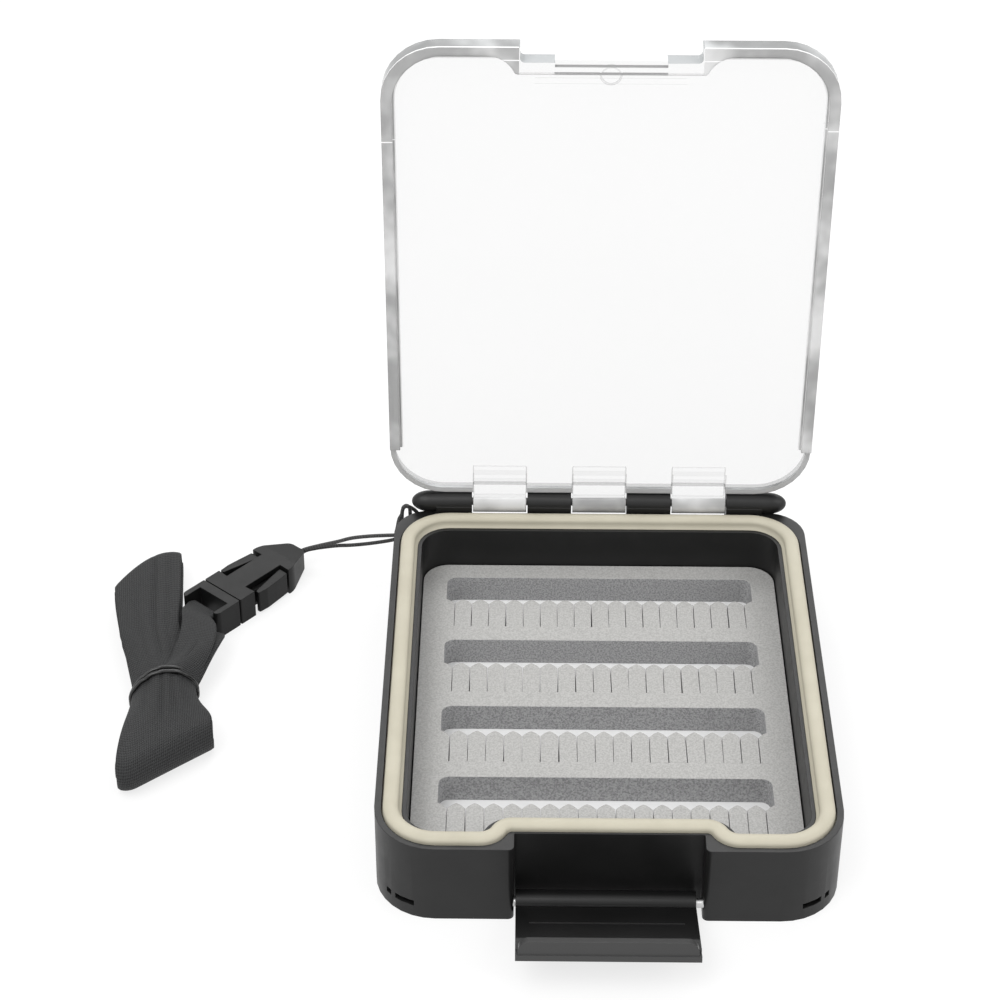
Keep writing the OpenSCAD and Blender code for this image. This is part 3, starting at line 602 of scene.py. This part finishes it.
def buildStrap():
    columns = sp["columns"]
    profile = []
    for side in (1, -1):
        for j in range(columns + 1):
            share = (-1 + 2 * j / columns) * side
            edge = 1 - max(0.0, (abs(share) - 0.95) / 0.05) ** 2 * 0.55
            profile.append((share, side * sp["thick"] / 2 * edge))
    points, uvs = [], []
    travelled = 0.0

    def addRing(place, travelled):
        for share, off in profile:
            point, across = place(share, off)
            points.append(point)
            uvs.append((travelled, across))

    line = hankLine(sp["stations"])
    for i, (u, z) in enumerate(line):
        a, b = line[max(i - 1, 0)], line[min(i + 1, len(line) - 1)]
        ahead = Vector((b[0] - a[0], b[1] - a[1])).normalized()
        up = (-ahead.y, ahead.x)
        if i:
            travelled += math.dist(line[i - 1], line[i])
        drift = sp["drift"] * math.sin(travelled / sp["driftPitch"]) * ease(abs(u) / 10)

        def placeHank(share, off, u=u, z=z, up=up, drift=drift):
            v = share * hankHalf(u)
            return hankPoint(u + up[0] * off, v + drift, z + up[1] * off), v

        addRing(placeHank, travelled)
    lead = leadLine()
    lead.reverse()
    for i, p in enumerate(lead):
        a, b = lead[max(i - 1, 0)], lead[min(i + 1, len(lead) - 1)]
        if i:
            travelled += math.dist(lead[i - 1][:3], p[:3])
        heading = math.radians(p[4])
        across = Vector((math.sin(heading), -math.cos(heading), 0))
        ahead = Vector((b[0] - a[0], b[1] - a[1], b[2] - a[2])).normalized()
        normal = across.cross(ahead).normalized()
        u = p[1] - sp["waist"][1]

        def placeLead(share, off, p=p, across=across, normal=normal, u=u):
            point = Vector(p[:3]) + across * share * p[3] + normal * off
            fade = ease((16 - u) / 16)
            point.z += wrinkle(max(u, 0), share * hankHalf(max(u, 0)), p[2]) * fade
            return point, share * p[3]

        addRing(placeLead, travelled)
    faces = gridFaces(len(points) // len(profile), len(profile), closedRows=True)
    return addMesh("strap", points, faces, knitSurface, uvs), travelled


strap, strapLength = buildStrap()
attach(strap, "plug")
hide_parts("webbing_hank", "webbing_lead")
strapLength * mm
print("strap", round(strapLength, 1), "mm")


# tie: a thin band round the waist, doubled
tiePiece = {"radius": 0.42, "secondRadius": 0.378, "sides": 10, "clear": 0.08, "at": -0.8, "apart": 1.6,
            "phase": 0.8, "tilt": 0.26, "points": 96, "square": 0.42}


def tiePath(shift, lift):
    q = tiePiece
    stand = q["clear"] + q["radius"]
    top = runHeight(sp["runs"] - 1) + sp["thick"] / 2
    path = []
    for k in range(q["points"]):
        a = math.tau * k / q["points"]
        x = math.copysign(abs(math.cos(a)) ** q["square"], math.cos(a))
        z = math.copysign(abs(math.sin(a)) ** q["square"], math.sin(a))
        u = q["at"] + shift * (0.5 + 0.5 * math.sin(a + lift)) + q["tilt"] * x * sp["waistHalf"]
        ceiling = top + wrinkle(u, x * hankHalf(u), top) + stand
        height = q["radius"] + (ceiling - q["radius"]) * (z + 1) / 2
        path.append((hankMid(u) + x * (hankHalf(u) + stand), sp["waist"][1] + u, height))
    path.append(path[0])
    return path


def buildTie():
    q = tiePiece
    parts = [tube("tie", tiePath(0.0, 0.0), q["radius"], q["sides"], tieSurface),
             tube("tie second", tiePath(q["apart"], q["phase"]), q["secondRadius"], q["sides"], tieSurface)]
    work = bmesh.new()
    for part in parts:
        work.from_mesh(part.data)
    mesh = parts[0].data
    work.to_mesh(mesh)
    work.free()
    bpy.data.objects.remove(parts[1])
    return parts[0]


tie = buildTie()
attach(tie, "plug")
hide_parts("bundle_tie")
print("tie")


# outlines shared by the gasket and the foam, in plan
def arcPoints(centre, r, start, stop, steps):
    angles = [math.radians(start + (stop - start) * k / steps) for k in range(steps + 1)]
    return [(centre[0] + r * math.cos(a), centre[1] + r * math.sin(a)) for a in angles]


def fillet(a, b, c, r, steps):
    a, b, c = Vector(a), Vector(b), Vector(c)
    one, two = (a - b).normalized(), (c - b).normalized()
    half = math.degrees(math.acos(max(-1, min(1, one.dot(two))))) / 2
    start = b + one * r / math.tan(math.radians(half))
    centre = b + (one + two).normalized() * r / math.sin(math.radians(half))
    begin = math.degrees(math.atan2(start.y - centre.y, start.x - centre.x))
    first, second = b - a, c - b
    way = 1 if first.x * second.y - first.y * second.x > 0 else -1
    return arcPoints(centre, r, begin, begin + way * (180 - 2 * half), steps)


def rounded(points, radii, steps=8):
    out = []
    for i, p in enumerate(points):
        out += fillet(points[i - 1], p, points[(i + 1) % len(points)], radii[i], steps)
    return out


sealPiece = {"x": 45.8, "rear": 55.8, "front": -56.0, "middle": -51.8, "corner": 11,
             "notch": 19.1, "notchClear": 1.2, "bend": 64, "bendIn": 1.4, "low": 16.4, "shoulder": 18.0,
             "high": 20.2, "crown": 1.05, "wide": 3.3,
             "inside": 0.6, "outside": 0.3, "steps": 14}


def seal(e, steps=10):
    q = sealPiece
    rise = q["middle"] - q["front"]
    half = math.tan(math.radians(q["bend"] / 2))
    bendOut = rise / math.sin(math.radians(q["bend"])) / half - q["bendIn"] - 0.05
    top = q["notch"] + q["notchClear"] + e * half
    foot = top + rise / math.tan(math.radians(q["bend"]))
    x, rear, front, middle = q["x"] - e, q["rear"] - e, q["front"] + e, q["middle"] + e
    corner, outBend, inBend = q["corner"] - e, bendOut - e, q["bendIn"] + e
    points = [(x, rear), (-x, rear), (-x, front), (-foot, front), (-top, middle), (top, middle), (foot, front),
              (x, front)]
    return rounded(points, [corner, corner, corner, outBend, inBend, inBend, outBend, corner], steps)


def buildGasket():
    q = sealPiece
    wide = q["wide"]
    foot = q["shoulder"] - 0.04
    profile = [(0.06 - q["outside"], q["low"]), (0.06 - q["outside"], foot), (0.03, q["shoulder"])]
    for k in range(13):
        a = math.pi * k / 12
        height = q["high"] - q["crown"] * (1 - math.sin(a) ** 0.8)
        profile.append((wide / 2 - (wide / 2 - 0.03) * math.cos(a), height))
    innerLip = wide + q["inside"] - 0.06
    profile += [(wide - 0.03, q["shoulder"]), (innerLip, foot), (innerLip, q["low"])]
    points = []
    for e, z in profile:
        points += [(x, y, z) for x, y in seal(e, q["steps"])]
    columns = len(points) // len(profile)
    faces = gridFaces(len(profile), columns, closedRows=True)
    return addMesh("gasket", points, faces, gasketSurface)


gasket = buildGasket()
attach(gasket, "case")
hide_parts("gasket_seal")
print("gasket")


# foam: a sheet with four slots, and the row of soft tabs in front of each
foamPiece = {"low": 1.6, "high": 8.2, "edge": 0.12, "slotRear": 45.8, "slotDeep": 9.8, "pitch": 23.15,
             "rows": 4, "slits": 18, "slitPitch": 3.91, "slit": 0.12, "slitLong": 8.4, "bulge": 1.65,
             "corner": 2.2,
             "inset": 5.05, "above": 0.03, "seed": 7,
             "tiltLow": (-0.004, -0.002, -0.012), "tiltHigh": (0.008, 0.002, 0.012)}


def flatSheet(name, outlines, low, high, edge, surface):
    curve = bpy.data.curves.new(name, "CURVE")
    curve.dimensions = "2D"
    curve.fill_mode = "BOTH"
    curve.extrude = ((high - low) / 2 - edge) * mm
    curve.bevel_depth = edge * mm
    curve.bevel_resolution = 2
    curve.offset = -edge * mm
    for outline in outlines:
        line = curve.splines.new("POLY")
        line.points.add(len(outline) - 1)
        for k, (x, y) in enumerate(outline):
            line.points[k].co = (x * mm, y * mm, 0, 1)
        line.use_cyclic_u = True
    holder = bpy.data.objects.new(name, curve)
    scene.collection.objects.link(holder)
    bpy.context.view_layer.update()
    mesh = bpy.data.meshes.new_from_object(holder.evaluated_get(bpy.context.evaluated_depsgraph_get()))
    bpy.data.objects.remove(holder)
    mesh.transform(Matrix.Translation((0, 0, (high + low) / 2 * mm)))
    mesh.materials.clear()
    mesh.materials.append(surface)
    made = bpy.data.objects.new(name, mesh)
    scene.collection.objects.link(made)
    return made


def scallop(start, stop, steps):
    half = foamPiece["slitPitch"] / 2
    spots = [start + (stop - start) * k / steps for k in range(steps + 1)]
    return [(x, foamPiece["bulge"] * (1 - min(1.0, abs(x) / half) ** 1.5)) for x in spots]


def tabOutline():
    q = foamPiece
    half = (q["slitPitch"] - q["slit"]) / 2
    return [(-half, -q["slitLong"]), (half, -q["slitLong"])] + scallop(half, -half, 16)


def tabGroup():
    q = foamPiece
    group = bpy.data.node_groups.new("foam tabs", "GeometryNodeTree")
    face = group.interface
    face.new_socket("Geometry", in_out="INPUT", socket_type="NodeSocketGeometry")
    values = {"Tabs": ("NodeSocketInt", q["slits"] - 1), "Tab Pitch": ("NodeSocketFloat", q["slitPitch"] * mm),
              "Rows": ("NodeSocketInt", q["rows"]), "Row Pitch": ("NodeSocketFloat", q["pitch"] * mm),
              "First": ("NodeSocketVector", None), "Seed": ("NodeSocketInt", q["seed"]),
              "Surface": ("NodeSocketMaterial", foamSurface)}
    for name, (kind, value) in values.items():
        face.new_socket(name, in_out="INPUT", socket_type=kind)
    face.new_socket("Geometry", in_out="OUTPUT", socket_type="NodeSocketGeometry")
    add, link = group.nodes.new, group.links.new
    inlet, outlet = add("NodeGroupInput"), add("NodeGroupOutput")

    def line(countName, step):
        made = add("GeometryNodeMeshLine")
        link(inlet.outputs[countName], made.inputs["Count"])
        link(step, made.inputs["Offset"])
        return made

    acrossStep, backStep = add("ShaderNodeCombineXYZ"), add("ShaderNodeCombineXYZ")
    link(inlet.outputs["Tab Pitch"], acrossStep.inputs["X"])
    negative = add("ShaderNodeMath")
    negative.operation = "MULTIPLY"
    negative.inputs[1].default_value = -1
    link(inlet.outputs["Row Pitch"], negative.inputs[0])
    link(negative.outputs[0], backStep.inputs["Y"])
    row = line("Tabs", acrossStep.outputs[0])
    rows = line("Rows", backStep.outputs[0])
    spread = add("GeometryNodeInstanceOnPoints")
    link(rows.outputs["Mesh"], spread.inputs["Points"])
    link(row.outputs["Mesh"], spread.inputs["Instance"])
    joined = add("GeometryNodeRealizeInstances")
    link(spread.outputs[0], joined.inputs[0])
    tilt = add("FunctionNodeRandomValue")
    tilt.data_type = "FLOAT_VECTOR"
    tilt.inputs[0].default_value = q["tiltLow"]
    tilt.inputs[1].default_value = q["tiltHigh"]
    link(inlet.outputs["Seed"], tilt.inputs["Seed"])
    tabs = add("GeometryNodeInstanceOnPoints")
    link(joined.outputs[0], tabs.inputs["Points"])
    link(inlet.outputs["Geometry"], tabs.inputs["Instance"])
    link(tilt.outputs[0], tabs.inputs["Rotation"])
    place = add("GeometryNodeTransform")
    solid = add("GeometryNodeRealizeInstances")
    paint = add("GeometryNodeSetMaterial")
    link(tabs.outputs[0], solid.inputs[0])
    link(solid.outputs[0], place.inputs[0])
    link(inlet.outputs["First"], place.inputs["Translation"])
    link(place.outputs[0], paint.inputs["Geometry"])
    link(inlet.outputs["Surface"], paint.inputs["Material"])
    link(paint.outputs[0], outlet.inputs[0])
    return group, values


def buildFoam():
    q = foamPiece
    slots = []
    half = q["slits"] * q["slitPitch"] / 2
    for k in range(q["rows"]):
        rear = q["slotRear"] - k * q["pitch"]
        front = rear - q["slotDeep"]
        back = fillet((half, front), (half, rear), (-half, rear), q["corner"], 8) \
            + fillet((half, rear), (-half, rear), (-half, front), q["corner"], 8)
        tip = scallop(0, q["slitPitch"] / 2 - q["slit"] / 2, 8)
        left = [(-half + x, front + y) for x, y in tip]
        right = [(half - x, front + y) for x, y in reversed(tip)]
        stop = front - q["slitLong"] + 0.1
        slots.append(back + left + [(left[-1][0], stop), (right[0][0], stop)] + right)
    low = q["low"] + q["above"]
    sheet = flatSheet("foam", [seal(q["inset"])] + slots, low, q["high"], q["edge"], foamSurface)
    tab = flatSheet("foam tab", [tabOutline()], low, q["high"] - q["above"], q["edge"], foamSurface)
    group, values = tabGroup()
    modifier = tab.modifiers.new("tabs", "NODES")
    modifier.node_group = group
    identifiers = {item.name: item.identifier for item in group.interface.items_tree
                   if item.in_out == "INPUT" and item.name != "Geometry"}
    for name, (kind, value) in values.items():
        if value is not None:
            modifier[identifiers[name]] = value
    first = (-(q["slits"] - 2) / 2 * q["slitPitch"] * mm, (q["slotRear"] - q["slotDeep"]) * mm, 0)
    modifier[identifiers["First"]] = first
    bpy.context.view_layer.update()
    mesh = bpy.data.meshes.new_from_object(tab.evaluated_get(bpy.context.evaluated_depsgraph_get()))
    bpy.data.objects.remove(tab)
    work = bmesh.new()
    work.from_mesh(sheet.data)
    work.from_mesh(mesh)
    work.to_mesh(sheet.data)
    work.free()
    return sheet


foam = buildFoam()
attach(foam, "case")
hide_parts("foam_insert")
print("foam", len(foam.data.polygons))


# studio
def flatLight(name, place, target, size, power):
    data = bpy.data.lights.new(name, "AREA")
    data.shape = "RECTANGLE"
    data.size, data.size_y = size
    data.energy = power
    made = bpy.data.objects.new(name, data)
    scene.collection.objects.link(made)
    made.location = place
    made.rotation_euler = (Vector(target) - Vector(place)).to_track_quat("-Z", "Y").to_euler()


flatLight("key", (-0.5, -0.5, 1.1), (0, 0, 0.02), (0.9, 0.9), 9)
flatLight("fill", (0.9, -0.3, 0.8), (0, 0, 0.03), (0.8, 0.8), 4)
flatLight("back", (0.1, 0.9, 0.9), (0, 0, 0.05), (1.2, 0.6), 7)


def seenDirectly(tree):
    rays = tree.nodes.new("ShaderNodeLightPath").outputs
    kinds = ("Camera", "Glossy", "Transmission")
    straight, glossy, through = [Wire(tree, rays[f"Is {kind} Ray"]) for kind in kinds]
    return straight.math("MAXIMUM", glossy).math("MAXIMUM", through)


def whiteWorld():
    world = bpy.data.worlds.new("studio")
    scene.world = world
    world.use_nodes = True
    tree = world.node_tree
    background = next(n for n in tree.nodes if n.type == "BACKGROUND")
    background.inputs["Strength"].default_value = 1.0
    tree.links.new(seenDirectly(tree).blend(grey(0.6), grey(1.0)).socket, background.inputs["Color"])


whiteWorld()


def whiteFloor():
    reach = 3000
    surface = Surface("floor", {"Base Color": grey(0.82), "Roughness": 0.9, "Specular IOR Level": 0.1})
    tree = surface.tree
    glow = surface.start.node("ShaderNodeEmission", {"Color": grey(1.08)})
    lit = Wire(tree, surface.shader.outputs[0])
    mixed = surface.start.node("ShaderNodeMixShader", {0: seenDirectly(tree) * 0.7, 1: lit, 2: glow})
    outlet = next(n for n in tree.nodes if n.type == "OUTPUT_MATERIAL")
    tree.links.new(mixed.socket, outlet.inputs[0])
    corners = [(-reach, -reach, 0), (reach, -reach, 0), (reach, reach, 0), (-reach, reach, 0)]
    addMesh("floor", corners, [(0, 1, 2, 3)], surface.material)


whiteFloor()
print("studio")
